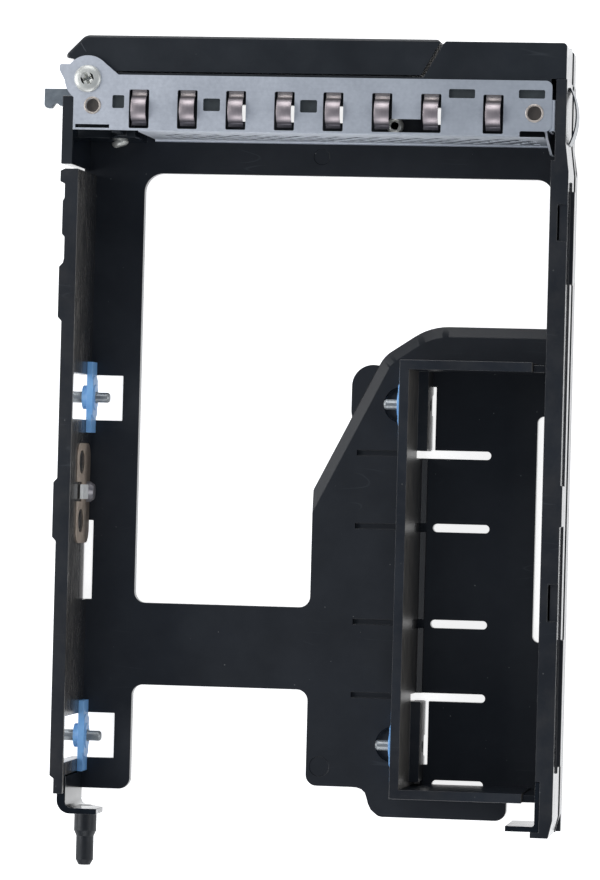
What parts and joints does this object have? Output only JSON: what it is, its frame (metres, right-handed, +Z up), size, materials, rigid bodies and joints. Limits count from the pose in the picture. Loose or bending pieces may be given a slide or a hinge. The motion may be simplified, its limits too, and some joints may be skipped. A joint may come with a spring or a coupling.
{
  "type": "hot swap drive caddy",
  "caption": "Flat moulded tray with side rails, steel front shield, swinging ejector lever, release button and rear guide pin, fitted with a bracket for a small drive.",
  "frame": {"origin": "on the tray's flat underside, midway between the outer faces of the side rails, at the front end of the drive bay", "axes": "+Z up from the underside, -Y towards the lever and end cap, +X towards the rail that carries the lever's pivot and the guide pin"},
  "size_m": [0.1198, 0.1856, 0.028],
  "materials": {
    "tray_black": "moulded black PC/ABS, satin, dusty",
    "lever_black": "moulded black PC/ABS, fine spark texture",
    "bezel_black": "moulded black PC/ABS, fine spark texture",
    "zinc_steel": "zinc-plated sheet steel",
    "spring_steel": "stainless spring strip, rolled",
    "leaf_steel": "bright stainless spring strip",
    "claw_steel": "pressed steel, phosphate grey",
    "screw_nickel": "nickel-plated steel",
    "pin_steel": "turned bright steel",
    "spring_wire": "drawn spring wire",
    "pad_blue": "moulded blue polypropylene",
    "bronze": "phosphor bronze strip",
    "black_steel": "black-coated steel",
    "pipe_clear": "clear acrylic, moulded"
  },
  "bodies": {
    "tray": {"base_tray": "tray_black", "pivot_side_rail": "tray_black", "latch_side_rail": "tray_black", "adapter_bracket": "tray_black", "light_pipe_lower": "pipe_clear", "light_pipe_upper": "pipe_clear", "bay_pad_front": "pad_blue", "bay_pad_rear": "pad_blue", "bracket_pad_front": "pad_blue", "bracket_pad_rear": "pad_blue", "bay_pin_front": "pin_steel", "bay_pin_rear": "pin_steel", "bracket_pin_front": "pin_steel", "bracket_pin_rear": "pin_steel", "bezel_frame": "bezel_black", "lever_spring": "spring_wire", "shield_plate": "zinc_steel", "finger_strip": "spring_steel", "side_spring": "leaf_steel", "pivot_screw": "screw_nickel", "frame_screws": "screw_nickel", "contact_plate": "bronze", "standoff_clip": "screw_nickel", "standoff_screw": "screw_nickel", "guide_bracket": "black_steel", "guide_pin": "black_steel", "rear_tab": "black_steel"},
    "lever": {"lever_handle": "lever_black", "lever_claw": "claw_steel"},
    "button": {"release_button": "lever_black", "button_spring": "spring_wire"}
  },
  "joints": [
    {"name": "lever_hinge", "type": "hinge", "parent": "tray", "child": "lever", "pos_m": [0.0515, -0.0149, 0.013], "axis": [0, 0, 1], "range_deg": [0, 60]},
    {"name": "button_press", "type": "slide", "parent": "tray", "child": "button", "axis": [0, 1, 0], "range_m": [0, 0.0015], "stiffness_N_per_m": 400, "springref_m": -0.002, "deforming": ["button_spring"]}
  ]
}
